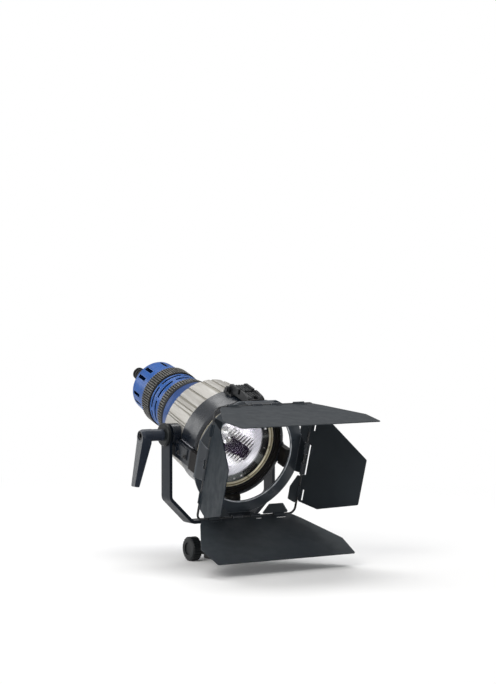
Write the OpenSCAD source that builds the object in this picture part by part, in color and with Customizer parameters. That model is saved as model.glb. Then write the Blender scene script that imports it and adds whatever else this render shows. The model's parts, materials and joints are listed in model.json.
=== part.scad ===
// Small focusing film light with four-leaf barn doors, on a tilting yoke.
// Origin: middle of the stand socket's mouth. X is the tilt axis, the light shines towards -Y.
// Parts of the lamp head are drawn upright: Z is the optical axis with 0 at the lens ring,
// Y is up, X is the tilt axis. The module in_head() lays them in place.

/* [Stance] */
// Angle of the lamp head below level
tilt_angle = 17.9; // [10:0.1:22]
// Distance of the tilt axis behind the lens ring
pivot_back = 43; // [40:0.5:45]
// Height of the tilt axis above the middle of the lamp head
pivot_up = 3; // [1:0.5:5]

/* [Yoke] */
// Thickness of the yoke's flat bar
yoke_t = 4.5; // [4:0.1:5]
// Width of the yoke's flat bar
yoke_w = 22; // [20:1:24]
// Distance from the tilt axis down to the upper face of the cross bar
yoke_drop = 118.5; // [117:0.5:126]
// Sideways reach of the slanted corner of the yoke
corner_x = 36; // [30:1:40]
// Height of the slanted corner of the yoke
corner_z = 34; // [30:1:38]
// Inside radius of the bends of the yoke
bend_r = 6; // [4:1:9]
// Radius of the tilt studs
stud_r = 4; // [3.5:0.1:4.5]

/* [Stand socket] */
// Width of the square socket block
socket_w = 34; // [30:1:38]
// Radius of the bore for the stand's spigot
bore_r = 8.1; // [8:0.05:8.5]
// Depth of the bore for the stand's spigot
bore_depth = 38; // [34:1:44]
// Height of the solid part of the socket block above the bore
socket_roof = 13; // [11:0.5:16]
// Radius of the vertical edges of the socket block
socket_edge_r = 4; // [2:0.5:6]
// Height of the clamping knob above the mouth of the socket
knob_z = 16; // [15:0.5:20]
// Radius of the clamping knob
knob_r = 16.4; // [14:0.2:17]
// Length of the grip of the clamping knob
knob_len = 14; // [11:0.5:16]
// Distance of the clamping knob's face from the middle of the socket
knob_reach = 50.7; // [50:0.1:56]
// Number of grips on the clamping knob
knob_grips = 24; // [16:2:30]
// Radius of the round boss for the clamping stud
stud_boss_r = 9; // [8:0.5:10]

/* [Tilt lever] */
// Radius of the lever's hub
hub_r = 8.6; // [8:0.1:9.5]
// Length of the lever's hub
hub_len = 34.5; // [33:0.5:38]
// Length of the lever's handle below the tilt axis
lever_len = 69; // [60:1:78]
// Sideways lean of the lever's handle
lever_lean = 11; // [6:0.5:14]
// Depth of the lever's handle at its tip
lever_tip_w = 9.2; // [6:0.2:11]
// Radius of the friction discs beside the yoke
disc_r = 15.7; // [14:0.1:17]
// Thickness of the friction discs
disc_t = 5; // [4:0.5:6]

/* [Housing] */
// Radius of the black front housing
band_r = 71; // [70:0.5:73]
// Length of the black front housing
band_len = 37; // [35:1:39]
// Distance of the housing's front rim before the lens ring
rim_a = 10; // [8:0.5:12]
// Wall of the front housing
band_wall = 3; // [2.4:0.2:3.4]
// Thickness of the side brackets
bracket_t = 5; // [4:0.5:6]
// Radius of the tilt bosses on the side brackets
boss_r = 15; // [13:0.5:16]
// Height of the tilt bosses above the side brackets
boss_h = 5.2; // [4:0.2:6.4]
// Depth of the side brackets below the middle of the head
bracket_drop = 22.5; // [20:0.5:26]

/* [Ribbed barrel] */
// Step from the front housing down to the ribbed barrel
barrel_step = 2.2; // [1.8:0.1:2.8]
// Taper of the ribbed barrel between its ends, in radius
barrel_taper = 3.8; // [2:0.1:5]
// Length of the ribbed barrel
barrel_len = 56; // [52:1:60]
// Wall of the ribbed barrel
barrel_wall = 2.4; // [2.2:0.1:2.8]
// Depth of the grooves in the ribbed barrel
groove_depth = 1.3; // [0.8:0.1:1.6]

/* [Rear focusing end] */
// Length of the tapered collar behind the barrel
collar_len = 38.5; // [36:0.5:42]
// Height of the locking ring's flange above the core tube
lock_flange_h = 8.3; // [7:0.1:9]
// Height of the locking ring's knurls above the core tube
lock_h = 6; // [5:0.1:7]
// Length of the locking ring
lock_len = 20.5; // [18:0.5:23]
// Thickness of the vented ring
vent_t = 3; // [2.5:0.1:3.8]
// Length of the vented ring
vent_len = 26; // [24:0.5:30]
// Height of the focusing ring's knurls above the core tube
focus_h = 4.8; // [4.4:0.1:6]
// Length of the focusing ring
focus_len = 22.5; // [20:0.5:25]
// Step from the rear cap's front edge down to the core tube
cap_step = 1.2; // [0.6:0.1:2]
// Taper of the rear cap between its ends, in radius
cap_taper = 1.8; // [1:0.1:2.2]
// Length of the rear cap
cap_len = 37.5; // [34:0.5:40]
// Radius of the core tube that carries the rings
core_r = 38; // [37.2:0.1:40]
// Number of ridges on the locking ring
lock_ridges = 72; // [60:4:84]
// Number of ridges on the focusing ring
focus_ridges = 76; // [60:4:88]
// Half width of a ridge's top, as a share of the ridges' pitch
knurl_top = 0.2; // [0.14:0.01:0.28]
// Number of vents in each row of the vented ring
vents = 7; // [6:1:8]
// Number of vent pairs on the rear cap
cap_vents = 6; // [5:1:7]
// Radius of the cable gland
gland_r = 10; // [8:0.5:11]
// Length of the cable gland
gland_len = 51.5; // [44:0.5:58]
// Radius of the hole for the cable
cable_r = 4; // [3:0.5:5]

/* [Optics] */
// Distance from the edge of the housing in to the edge of the lens
lens_inset = 13.5; // [12.5:0.1:14]
// Lap of the brass lens ring around the lens
lens_ring_lap = 3.1; // [2.8:0.1:3.8]
// Width of the brass lens ring
lens_ring_w = 6.5; // [6:0.1:7]
// Thickness of the lens at its edge
lens_t = 3.6; // [3:0.1:4.5]
// Distance between the flutes on the back of the lens
flute_pitch = 5.6; // [4.5:0.1:7]
// Width of the gasket between the reflector's mouth and the edge of the lens
gasket_w = 10; // [8:0.5:12]
// Depth of the reflector
mirror_depth = 44; // [40:1:48]
// Travel of the lamp along the axis for the full turn of the focusing ring
focus_travel = 12; // [8:0.5:14]
// Radius of the lamp's quartz envelope
lamp_r = 6; // [5:0.2:7]

/* [Barn doors] */
// Distance from the edge of the housing in to the inner edge of the door ring
ring_inset = 4.9; // [4:0.1:6]
// Width of the door ring's plate
ring_w = 17.9; // [17:0.1:20]
// Distance of the door ring before the lens ring
ring_a = 36; // [34:0.5:38]
// Thickness of the door ring
ring_t = 1.6; // [1.2:0.1:2]
// Distance of the hinge rods before the lens ring
hinge_a = 55.6; // [54:0.2:58]
// Distance of the upper and lower hinge rods inside the door ring's edge
hinge_in_y = 3.3; // [2:0.1:4.4]
// Distance of the side hinge rods inside the door ring's edge
hinge_in_x = 6.2; // [5:0.1:7.4]
// Radius of the wire of the hinge frame
wire_r = 1.6; // [1.4:0.1:1.8]
// Corner radius of the hinge frame
wire_bend_r = 9; // [7:0.5:11]
// Thickness of the leaves
leaf_t = 1.2; // [1:0.1:1.5]
// Angle of the upper leaf beyond the optical axis
top_angle = 8.4; // [0:0.1:20]
// Angle of the lower leaf beyond the optical axis
bottom_angle = 5.8; // [0:0.1:20]
// Angle of the left leaf beyond the optical axis
left_angle = 15.8; // [5:0.1:30]
// Angle of the right leaf beyond the optical axis
right_angle = 21.8; // [5:0.1:30]
// Distance from the corner of the hinge frame in to the end of a big leaf
big_inset = 5.8; // [4:0.1:8]
// Flare of the big leaves on each side
big_flare = 39.5; // [30:0.5:46]
// Length of the big leaves
big_len = 113.3; // [100:0.5:124]
// Distance from the corner of the hinge frame in to the end of a small leaf
small_inset = 18.7; // [17:0.1:21]
// Narrowing of the small leaves towards the tip on each side
small_taper = 29.4; // [22:0.2:34]
// Length of the small leaves
small_len = 97; // [88:0.5:98]

/* [Accessory latch] */
// Half width of the latch
latch_w = 12.8; // [10:0.2:14]
// Height of the latch above the front housing
latch_h = 13; // [11:0.5:15]
// Gap between the latch's nose and the holder ring
latch_gap = 0.8; // [0.5:0.1:2]

/* [Clearances] */
// Radial running clearance of the turning parts
run = 0.06; // [0.03:0.01:0.1]
// Gap between faces that turn past each other
gap = 0.3; // [0.2:0.05:0.5]

/* [Hidden] */
$fn = 96;
eps = 0.01;

// Radii of the head, from the housing inwards and from the core tube outwards
barrel_front_r = band_r - barrel_step;
barrel_rear_r = barrel_front_r - barrel_taper;
lens_r = band_r - lens_inset;
lens_ring_r = lens_r + lens_ring_lap;
mouth_r = lens_r - gasket_w;
ring_in_r = band_r - ring_inset;
ring_out_r = ring_in_r + ring_w;
hinge_y = ring_out_r - hinge_in_y;
hinge_x = ring_out_r - hinge_in_x;
big_root = hinge_x - big_inset;
big_wide = big_root + big_flare;
small_root = hinge_y - small_inset;
small_tip = small_root - small_taper;
lock_flange_r = core_r + lock_flange_h;
lock_r = core_r + lock_h;
vent_r = core_r + vent_t;
focus_r = core_r + focus_h;
cap_front_r = core_r + cap_step;
cap_rear_r = cap_front_r - cap_taper;

// Stations along the optical axis
band_a = rim_a - band_len;
barrel_a = band_a - barrel_len;
collar_a = barrel_a - collar_len;
lock_a = collar_a - lock_len;
vent_a = lock_a - vent_len;
focus_a = vent_a - focus_len;
cap_a = focus_a - cap_len;

// Sideways stations of the tilt pivot
bracket_in = band_r - 0.6;
bracket_out = band_r + bracket_t;
boss_face = bracket_out + boss_h;
arm_in = boss_face + gap;
arm_out = arm_in + yoke_t;
disc_face = arm_out + disc_t;
pad_t = 1.4;
screw_head_t = 1.4;
far_face = bracket_out + pad_t + screw_head_t;
far_in = far_face + gap;
far_out = far_in + yoke_t;
socket_h = bore_depth + socket_roof;
pivot_height = socket_h + yoke_t + yoke_drop;

function polar(r, t) = [r * cos(t), r * sin(t)];
function unit(v) = v / norm(v);

// Points of an arc that rounds the corner b of the path a, b, c
function corner(a, b, c, r, n = 6) =
    let (u = unit(a - b), v = unit(c - b), half = acos(max(-1, min(1, u * v))) / 2)
    let (m = b + unit(u + v) * r / sin(half))
    let (p = b + u * r / tan(half) - m, q = b + v * r / tan(half) - m)
    let (t0 = atan2(p.y, p.x), dt = atan2(q.y, q.x) - t0)
    let (turn = dt > 180 ? dt - 360 : dt < -180 ? dt + 360 : dt)
    [for (i = [0:n]) m + polar(r, t0 + turn * i / n)];

// A closed outline with every corner rounded to the radius r
function rounded(pts, r) =
    let (k = len(pts))
    [for (i = [0:k - 1]) each corner(pts[(i + k - 1) % k], pts[i], pts[(i + 1) % k], r)];

// Outline of a ring of n ridges between the radii r0 and r1: top is the half width of a ridge's top,
// as a share of the pitch
function ridges(n, r0, r1, top) =
    [for (i = [0:n - 1], s = [[-top, r1], [top, r1], [top + 0.09, r0], [0.91 - top, r0]])
        polar(s[1], (i + s[0]) * 360 / n)];

// Lays a part of the head in place on the yoke
module in_head() {
    translate([0, 0, pivot_height])
        rotate([tilt_angle, 0, 0])
            translate([0, -pivot_back, -pivot_up])
                rotate([90, 0, 0])
                    children();
}

// Puts children at the tilt axis, with Z pointing outwards on the side s (-1 or 1)
module on_pivot(s) {
    translate([0, 0, pivot_height])
        rotate([0, s * 90, 0])
            children();
}

// The same for a part of the head
module on_head_pivot(s) {
    translate([0, pivot_up, -pivot_back])
        rotate([0, s * 90, 0])
            children();
}

// A tube along Z from a0 to a1
module tube(r_out, r_in, a0, a1) {
    translate([0, 0, a0])
        difference() {
            cylinder(r = r_out, h = a1 - a0);
            translate([0, 0, -1])
                cylinder(r = r_in, h = a1 - a0 + 2);
        }
}

// A sector of the angle range t0 to t1, for cutting round parts
module sector(r, t0, t1, a0, a1) {
    translate([0, 0, a0])
        linear_extrude(a1 - a0)
            polygon(concat(
                [[0, 0]],
                [for (i = [0:8]) polar(r / cos((t1 - t0) / 16), t0 + (t1 - t0) * i / 8)]
            ));
}

// Yoke: a flat bar bent to a U with slanted corners and round ends
module yoke() {
    low = -yoke_drop - yoke_t;
    outer = [
        [far_out, yoke_w], [far_out, low + corner_z + 1], [far_out - corner_x, low],
        [corner_x - arm_out, low], [-arm_out, low + corner_z + 1], [-arm_out, yoke_w]
    ];
    inner = [
        [-arm_in, yoke_w], [-arm_in, low + corner_z + 3], [corner_x - arm_out + 2, -yoke_drop],
        [far_out - corner_x - 2, -yoke_drop], [far_in, low + corner_z + 3], [far_in, yoke_w]
    ];
    color([0.13, 0.14, 0.16])
    translate([0, 0, pivot_height])
    difference() {
        intersection() {
            rotate([90, 0, 0])
                translate([0, 0, -yoke_w / 2])
                    linear_extrude(yoke_w)
                        polygon(concat(
                            [outer[0]],
                            corner(outer[0], outer[1], outer[2], bend_r + yoke_t),
                            corner(outer[1], outer[2], outer[3], bend_r + yoke_t),
                            corner(outer[2], outer[3], outer[4], bend_r + yoke_t),
                            corner(outer[3], outer[4], outer[5], bend_r + yoke_t),
                            [outer[5], inner[0]],
                            corner(inner[0], inner[1], inner[2], bend_r),
                            corner(inner[1], inner[2], inner[3], bend_r),
                            corner(inner[2], inner[3], inner[4], bend_r),
                            corner(inner[3], inner[4], inner[5], bend_r),
                            [inner[5]]
                        ));
            union() {
                rotate([0, 90, 0])
                    cylinder(r = yoke_w / 2, h = 2 * arm_out + 2, center = true);
                translate([-arm_out - 1, -yoke_w / 2 - 1, low - 1])
                    cube([2 * arm_out + 2, yoke_w + 2, -low + 1]);
            }
        }
        rotate([0, 90, 0])
            cylinder(r = stud_r + run, h = 2 * arm_out + 2, center = true);
        translate([0, 0, low - 1])
            cylinder(r = stud_r + run, h = yoke_t + 2);
    }
}

// Stand socket: a block with the spigot bore, the guide of the clamp shoe and the stud's boss
shoe_r = 5.5;
shoe_len = 4.5;
shoe_face = bore_r + 0.2;
pitch = 1.25;
boss_end = knob_reach - knob_len - 9;
module stand_socket() {
    half = socket_w / 2;
    color([0.12, 0.12, 0.13])
    difference() {
        union() {
            linear_extrude(socket_h)
                polygon(rounded([[-half, -half], [half, -half], [half, half], [-half, half]], socket_edge_r));
            translate([-boss_end, 0, knob_z])
                rotate([0, 90, 0])
                    cylinder(r = stud_boss_r, h = boss_end - half + 1);
        }
        translate([0, 0, -1])
            cylinder(r = bore_r, h = bore_depth + 1);
        translate([0, 0, bore_depth + 2])
            cylinder(r = stud_r, h = socket_h);
        translate([-boss_end - 1, 0, knob_z])
            rotate([0, 90, 0])
                cylinder(r = stud_r + run, h = boss_end);
        translate([-shoe_face - shoe_len - pitch - gap, 0, knob_z])
            rotate([0, 90, 0])
                cylinder(r = shoe_r + run, h = shoe_face + shoe_len + pitch);
    }
}

// Cap screw that holds the yoke on the socket block
module socket_screw() {
    bar_top = pivot_height - yoke_drop;
    color([0.35, 0.35, 0.37])
    difference() {
        union() {
            translate([0, 0, bar_top])
                cylinder(r = 1.6 * stud_r, h = 2 * stud_r);
            translate([0, 0, bore_depth + 3])
                cylinder(r = stud_r - 0.02, h = bar_top - bore_depth - 2);
        }
        translate([0, 0, bar_top + stud_r])
            cylinder(r = 0.85 * stud_r, h = stud_r + 1, $fn = 6);
    }
}

// Brass shoe that presses on the stand's spigot
module clamp_shoe() {
    color([0.78, 0.62, 0.3])
    translate([-shoe_face - shoe_len, 0, knob_z])
        rotate([0, 90, 0])
            cylinder(r = shoe_r, h = shoe_len);
}

// Clamping knob with grips round its rim, a dished face and a tapered neck
module stand_knob() {
    groove_r = knob_r - 1.1;
    color([0.11, 0.12, 0.13])
    translate([-knob_reach, 0, knob_z])
        rotate([0, 90, 0])
            difference() {
                union() {
                    translate([0, 0, 1.2])
                        linear_extrude(knob_len - 2.4)
                            polygon(ridges(knob_grips, groove_r, knob_r, 0.27));
                    cylinder(r1 = groove_r - 1.2, r2 = groove_r, h = 1.21);
                    translate([0, 0, knob_len - 1.21])
                        cylinder(r1 = groove_r, r2 = groove_r - 1.2, h = 1.21);
                    translate([0, 0, knob_len - 1])
                        cylinder(r1 = stud_boss_r + 1, r2 = stud_boss_r - 1, h = 9.4);
                }
                translate([0, 0, -1])
                    cylinder(r = 0.55 * knob_r, h = 2.6);
                translate([0, 0, knob_len - 6])
                    cylinder(r = stud_r + 0.02, h = 20);
            }
}

// Stud that is moulded into the clamping knob
module knob_stud() {
    tip = shoe_face + shoe_len + 0.05;
    color([0.6, 0.6, 0.62])
    translate([-knob_reach + knob_len - 6, 0, knob_z])
        rotate([0, 90, 0])
            cylinder(r = stud_r, h = knob_reach - knob_len + 6 - tip);
}

// Clamping lever: a round hub with a tapered handle that hangs down and leans outwards
lever_out = disc_face + gap + hub_len;
module tilt_lever() {
    hang = [
        [-lever_out + 14, 0], [-lever_out + 14, -hub_r - 2],
        [-lever_out - lever_lean + 7.5, -lever_len],
        [-lever_out - lever_lean, -lever_len + 1], [-lever_out, -hub_r + 3], [-lever_out, 0]
    ];
    root = hub_r - 0.7;
    side = [
        [-root, 0], [-root + 0.4, -hub_r],
        [-lever_tip_w / 2, -lever_len - 1], [lever_tip_w / 2, -lever_len - 1],
        [root - 0.4, -hub_r], [root, 0]
    ];
    neck = hub_len / 2;
    color([0.2, 0.21, 0.24])
    difference() {
        union() {
            on_pivot(-1)
                translate([0, 0, disc_face + gap])
                    cylinder(r = hub_r - 0.5, h = neck + 1);
            on_pivot(-1)
                translate([0, 0, disc_face + gap + neck])
                    cylinder(r = hub_r, h = hub_len - 4 - neck);
            on_pivot(-1)
                translate([0, 0, disc_face + gap + hub_len - 4])
                    cylinder(r1 = hub_r, r2 = hub_r - 1.6, h = 4);
            translate([0, 0, pivot_height])
                intersection() {
                    rotate([90, 0, 0])
                        translate([0, 0, -10])
                            linear_extrude(20)
                                polygon(concat(
                                    [hang[0]], corner(hang[0], hang[1], hang[2], 4),
                                    corner(hang[1], hang[2], hang[3], 2), corner(hang[2], hang[3], hang[4], 2),
                                    corner(hang[3], hang[4], hang[5], 3), [hang[5]]
                                ));
                    rotate([90, 0, 90])
                        translate([0, 0, -lever_out - 2 * lever_lean])
                            linear_extrude(lever_out)
                                polygon(side);
                }
        }
        on_pivot(-1)
            cylinder(r = stud_r + run, h = lever_out - 12);
        on_pivot(-1)
            translate([0, 0, lever_out - 5])
                cylinder(r = hub_r - 2.4, h = 6);
    }
}

// Cap screw in the outer end of the lever's hub
module lever_screw() {
    color([0.1, 0.1, 0.1])
    on_pivot(-1)
        difference() {
            translate([0, 0, lever_out - 5])
                cylinder(r = hub_r - 2.5, h = 4);
            translate([0, 0, lever_out - 3.5])
                cylinder(r = 3.4, h = 5, $fn = 6);
        }
}

// Friction disc between the lever and the yoke
module friction_disc() {
    color([0.1, 0.1, 0.11])
    on_pivot(-1)
        difference() {
            union() {
                translate([0, 0, arm_out])
                    cylinder(r = disc_r, h = disc_t - 1.5);
                translate([0, 0, disc_face - 1.5])
                    cylinder(r1 = disc_r, r2 = disc_r - 1.5, h = 1.5);
            }
            translate([0, 0, arm_out - 1])
                cylinder(r = stud_r + run, h = disc_t + 2);
        }
}

// Stud on the lever's side, screwed into the side bracket
module tilt_stud() {
    color([0.62, 0.62, 0.64])
    in_head()
        on_head_pivot(-1)
            translate([0, 0, bracket_in + 1])
                cylinder(r = stud_r, h = disc_face + 16 - bracket_in);
}

// Washer disc under the plain screw on the other side
far_disc_t = 3;
module pivot_disc() {
    color([0.1, 0.1, 0.11])
    on_pivot(1)
        difference() {
            union() {
                translate([0, 0, far_out])
                    cylinder(r = disc_r - 2, h = far_disc_t / 2);
                translate([0, 0, far_out + far_disc_t / 2])
                    cylinder(r1 = disc_r - 2, r2 = disc_r - 3.5, h = far_disc_t / 2);
            }
            translate([0, 0, far_out - 1])
                cylinder(r = stud_r + run, h = far_disc_t + 2);
        }
}

// Plain pivot screw on the other side
module pivot_screw() {
    seat = far_out + far_disc_t;
    head_t = 1.25 * stud_r;
    color([0.2, 0.2, 0.21])
    in_head()
        on_head_pivot(1)
            difference() {
                union() {
                    translate([0, 0, bracket_in + 1])
                        cylinder(r = stud_r, h = seat + 1 - bracket_in);
                    translate([0, 0, seat + gap])
                        cylinder(r = 2 * stud_r, h = head_t);
                }
                translate([0, 0, seat + head_t - 2])
                    cylinder(r = 0.85 * stud_r, h = head_t, $fn = 6);
            }
}

// Black front housing with the side brackets and the tilt bosses
lip_r = barrel_front_r - barrel_wall - 0.15;
bracket_top = 0.8;
bracket_rear = -pivot_back - 17;
pad_a = [-26, rim_a - 6.5];
pad_y = [bracket_top - 17, bracket_top - 1.6];
module front_housing() {
    round_r = 4;
    low = -bracket_drop;
    color([0.1, 0.1, 0.11])
    in_head()
        difference() {
            union() {
                rotate_extrude()
                    polygon([
                        [lip_r - 2.2, band_a - 8], [lip_r - 0.6, band_a - 8], [lip_r, band_a],
                        [band_r, band_a], [band_r, rim_a - 3], [band_r - 0.8, rim_a],
                        [bezel_out_r + 0.05, rim_a], [bezel_out_r + 0.05, -4], [lip_r - 2.2, -4]
                    ]);
                difference() {
                    for (s = [-1, 1]) {
                        translate([s > 0 ? bracket_out : -band_r + 6, 0, 0])
                            rotate([0, -90, 0])
                                linear_extrude(bracket_t + 6)
                                    polygon(concat(
                                        [[rim_a, bracket_top]],
                                        corner([rim_a, bracket_top], [bracket_rear, bracket_top],
                                            [bracket_rear, low], round_r),
                                        corner([bracket_rear, bracket_top], [bracket_rear, low],
                                            [rim_a, low], round_r),
                                        [[rim_a, low]]
                                    ));
                        translate([s > 0 ? bracket_out - 1 : -bracket_out - pad_t, pad_y[0], pad_a[0]])
                            cube([pad_t + 1, pad_y[1] - pad_y[0], pad_a[1] - pad_a[0]]);
                        on_head_pivot(s)
                            translate([0, 0, band_r - 6])
                                cylinder(r = boss_r, h = (s > 0 ? far_face : boss_face) - band_r + 6);
                    }
                    translate([0, 0, -pivot_back - 40])
                        cylinder(r = bracket_in, h = pivot_back + 40 + band_a);
                    translate([0, 0, barrel_a])
                        cylinder(r = band_r - 1, h = rim_a - barrel_a + 1);
                }
            }
            for (s = [-1, 1])
                on_head_pivot(s)
                    translate([0, 0, bracket_in - 4])
                        cylinder(r = stud_r + 0.02, h = 30);
        }
}

// Guide rails above the side brackets
rail_h = 4.4;
rail_t = 1.3;
rail_a0 = band_a + 5;
rail_a1 = rim_a - 1.5;
rod_r = 0.9;
module side_rails() {
    color([0.14, 0.14, 0.15])
    in_head()
        difference() {
            for (s = [-1, 1])
                translate([s > 0 ? band_r - 3 : -band_r - rail_t, bracket_top + 0.05, rail_a0])
                    cube([rail_t + 3, rail_h, rail_a1 - rail_a0]);
            translate([0, 0, rail_a0 - 1])
                cylinder(r = band_r + 0.05, h = rail_a1 - rail_a0 + 2, $fn = 4 * $fn);
            rods(rod_r + 0.02);
        }
}

// Places of the rods on the outer faces of the rails
module rods(r) {
    for (s = [-1, 1])
        translate([s * (band_r + rail_t), bracket_top + rail_h / 2, rail_a0 - 1])
            cylinder(r = r, h = rail_a1 - rail_a0 + 2);
}

// Steel rods in the side rails
module rail_rods() {
    color([0.4, 0.4, 0.42])
    in_head()
        rods(rod_r);
}

// Screws of the side brackets
bracket_screw_r = 3.4;
bracket_screw_gap = 16.5;
module bracket_screws() {
    color([0.08, 0.08, 0.08])
    in_head()
        for (s = [-1, 1], k = [0, 1])
            translate([
                s * (bracket_out + pad_t), pad_y[0] + 1.1 * bracket_screw_r,
                pad_a[1] - 1.15 * bracket_screw_r - k * bracket_screw_gap
            ])
                rotate([0, s * 90, 0])
                    difference() {
                        cylinder(r1 = bracket_screw_r, r2 = bracket_screw_r - 0.6, h = screw_head_t);
                        translate([0, 0, screw_head_t - 0.9])
                            cylinder(r = 0.45 * bracket_screw_r, h = 2, $fn = 6);
                    }
}

// Black bezel that steps down from the rim to the lens ring and holds the lens stack
bezel_out_r = band_r - band_wall - 1.5;
module bezel() {
    color([0.08, 0.07, 0.07])
    in_head()
        rotate_extrude()
            polygon([
                [lens_r + 0.05, -4.1], [lens_r + 0.05, mirror_a - 1.05], [mouth_r + 3, mirror_a - 1.05],
                [mouth_r + 3, mirror_a - 3.5], [lip_r - 2.3, mirror_a - 3.5], [lip_r - 2.3, -4],
                [bezel_out_r, -4], [bezel_out_r, rim_a - 1],
                [bezel_out_r - 1.2, rim_a - 1], [bezel_out_r - 1.6, rim_a - 4.5],
                [bezel_out_r - 3, rim_a - 4.8], [bezel_out_r - 3.4, rim_a - 7.6],
                [lens_ring_r + 0.05, 1.8], [lens_ring_r + 0.05, -4.1]
            ]);
}

// Brass ring that holds the lens, rolled from two beads and a web
module lens_ring() {
    bead = 1.5;
    color([0.75, 0.66, 0.42])
    in_head()
        rotate_extrude()
            union() {
                translate([lens_ring_r - bead, 0.2])
                    circle(r = bead, $fn = 32);
                translate([lens_ring_r - lens_ring_w + bead, 0.2])
                    circle(r = bead, $fn = 32);
                translate([lens_ring_r - lens_ring_w + bead, -1.3])
                    square([lens_ring_w - 2 * bead, 2.2]);
                translate([lens_ring_r - 1.6, -4])
                    square([1.6, 4.2]);
            }
}

// Lens: domed in front, with slanting flutes behind
lens_back = -1.3 - lens_t;
dome_r = 330;
module lens_glass() {
    flute_r = 4.6;
    dome_z = -1.75 - sqrt(dome_r * dome_r - lens_r * lens_r);
    count = floor(mouth_r / flute_pitch);
    color([0.85, 0.9, 0.92, 0.5])
    in_head()
        difference() {
            intersection() {
                translate([0, 0, lens_back])
                    cylinder(r = lens_r, h = 14);
                translate([0, 0, dome_z])
                    sphere(r = dome_r, $fn = 200);
            }
            intersection() {
                for (i = [-count:count])
                    rotate([0, 0, 45])
                        translate([0, i * flute_pitch, lens_back - flute_r + 0.9])
                            rotate([0, 90, 0])
                                cylinder(r = flute_r, h = 3 * lens_r, center = true, $fn = 32);
                translate([0, 0, lens_back - 2 * flute_r])
                    cylinder(r = mouth_r - 0.8, h = 4 * flute_r);
            }
        }
}

// Black gasket between the lens and the reflector
module lens_gasket() {
    color([0.09, 0.09, 0.1])
    in_head()
        tube(lens_r, mouth_r, mirror_a + 0.02, lens_back - 0.02);
}

// Reflector: a paraboloid with a flange at its mouth and a neck for the lamp
neck_r = 11;
mirror_a = lens_back - 3.2;
mirror_k = (mouth_r * mouth_r - neck_r * neck_r) / mirror_depth;
function mirror_r(z) = sqrt(neck_r * neck_r + mirror_k * z);
module reflector() {
    steps = 11;
    wall = 1;
    color([0.8, 0.8, 0.82])
    in_head()
        rotate_extrude()
            polygon(concat(
                [
                    for (i = [0:steps])
                        let (z = mirror_depth * i / steps)
                            [mirror_r(z), mirror_a - mirror_depth + z]
                ],
                [[lens_r, mirror_a], [lens_r, mirror_a - wall]],
                [for (i = [steps:-1:0]) let (z = mirror_depth * i / steps)
                    [mirror_r(z) + wall, mirror_a - mirror_depth + z - wall]],
                [[neck_r + wall, mirror_a - mirror_depth - 8], [neck_r, mirror_a - mirror_depth - 8]]
            ));
}

// Lamp: a quartz envelope with a pinched end
lamp_a = mirror_a - mirror_depth + 2;
module lamp_capsule() {
    color([0.9, 0.92, 0.95, 0.6])
    in_head()
        union() {
            translate([0, 0, lamp_a + 9])
                cylinder(r = lamp_r, h = 17);
            translate([0, 0, lamp_a + 26])
                intersection() {
                    sphere(r = lamp_r);
                    cylinder(r = lamp_r + 1, h = lamp_r + 1);
                }
            translate([-lamp_r, -2, lamp_a])
                cube([2 * lamp_r, 4, 9 + eps]);
        }
}

// Ceramic base that holds the lamp
module lamp_base() {
    color([0.88, 0.86, 0.8])
    in_head()
        difference() {
            translate([0, 0, lamp_a - 26])
                cylinder(r = neck_r - 1.5, h = 26);
            translate([0, 0, lamp_a - 27])
                cylinder(r = 3, h = 14);
        }
}

// Carriage: a piston in the core tube with a stem that carries the lamp base
carriage_a = lamp_a - 26;
piston_len = 16;
stem_r = 8;
module lamp_carriage() {
    wire_r = 3;
    color([0.55, 0.56, 0.58])
    in_head()
        difference() {
            union() {
                translate([0, 0, carriage_a - 6])
                    cylinder(r = stem_r + 5, h = 6);
                translate([0, 0, focus_mid])
                    cylinder(r = stem_r, h = carriage_a - focus_mid);
                translate([0, 0, focus_mid - piston_len / 2])
                    cylinder(r = carriage_r, h = piston_len);
            }
            translate([0, 0, focus_mid - piston_len])
                cylinder(r = carriage_r - 6, h = 1.5 * piston_len - 4);
            translate([0, 0, focus_mid - piston_len])
                cylinder(r = wire_r, h = carriage_a - focus_mid + piston_len + 1);
            rotate([0, 0, pin_turn])
                translate([0, 0, focus_mid])
                    rotate([0, 90, 0])
                        cylinder(r = pin_r, h = 2 * carriage_r);
        }
}

// Ribbed barrel: a tapered tube with grooves of uneven width along it
low_grooves = 3;
groove_marks = [
    [92.5, 4.6], [105, 5.6], [124.5, 3], [139, 3.2],
    [145.3, 2], [149.7, 2], [161.6, 1.8], [164.6, 1.8]
];
groove_angles = concat(
    groove_marks,
    [for (m = groove_marks) if (m[0] > 100) [180 - m[0], m[1]]],
    [for (m = groove_marks) if (m[0] > 130) [-m[0], m[1]]],
    [for (m = groove_marks) if (m[0] > 130) [m[0] - 180, m[1]]],
    [for (i = [-low_grooves:low_grooves]) [270 + 12 * i, 3]]
);
module ribbed_barrel() {
    slope = atan(barrel_taper / barrel_len);
    color([0.74, 0.73, 0.7])
    in_head()
        difference() {
            rotate_extrude()
                polygon([
                    [barrel_rear_r - barrel_wall, barrel_a], [barrel_rear_r - 0.6, barrel_a],
                    [barrel_rear_r, barrel_a + 0.6], [barrel_front_r, band_a - 0.02],
                    [barrel_front_r - barrel_wall, band_a - 0.02]
                ]);
            for (m = groove_angles)
                rotate([0, 0, m[0]])
                    translate([barrel_rear_r - groove_depth, -m[1] / 2, barrel_a])
                        rotate([0, slope, 0])
                            translate([0, 0, -2])
                                cube([6, m[1], barrel_len + 4]);
        }
}

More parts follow.
